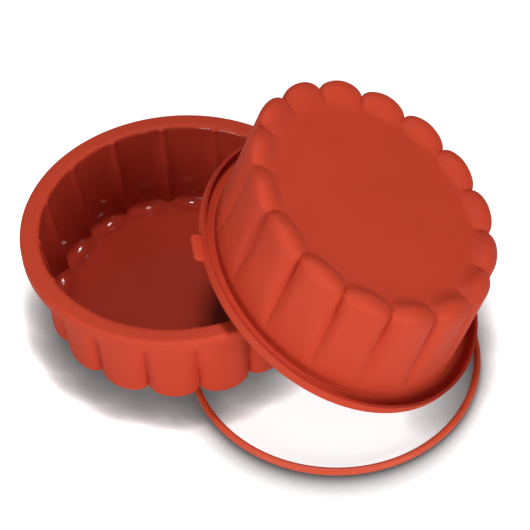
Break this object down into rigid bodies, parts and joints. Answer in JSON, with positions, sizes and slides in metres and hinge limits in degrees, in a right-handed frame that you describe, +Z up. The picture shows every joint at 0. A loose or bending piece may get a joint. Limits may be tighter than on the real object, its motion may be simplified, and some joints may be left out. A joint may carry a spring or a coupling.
{
  "type": "charlotte mould",
  "caption": "Fluted silicone charlotte moulds with rolled rims and grip tabs, one upright and one turned over, leaning on a loose support ring.",
  "frame": {"origin": "on the table, under the middle of the bounding box of all three pieces", "axes": "+Z up; +X from the upright mould towards the leaning one; -Y towards the side the picture was taken from"},
  "size_m": [0.298, 0.2452, 0.1641],
  "materials": {
    "mould_silicone": "satin",
    "ring_silicone": "satin"
  },
  "bodies": {
    "ring": {"support_ring": "ring_silicone"},
    "upright": {"upright_mould": "mould_silicone"},
    "leaning": {"leaning_mould": "mould_silicone"}
  },
  "joints": [
    {"name": "upright_lift", "type": "slide", "parent": "ring", "child": "upright", "axis": [0, 0, 1], "range_m": [0, 0.1]},
    {"name": "leaning_lift", "type": "slide", "parent": "upright", "child": "leaning", "axis": [0, 0, 1], "range_m": [0, 0.1]}
  ]
}
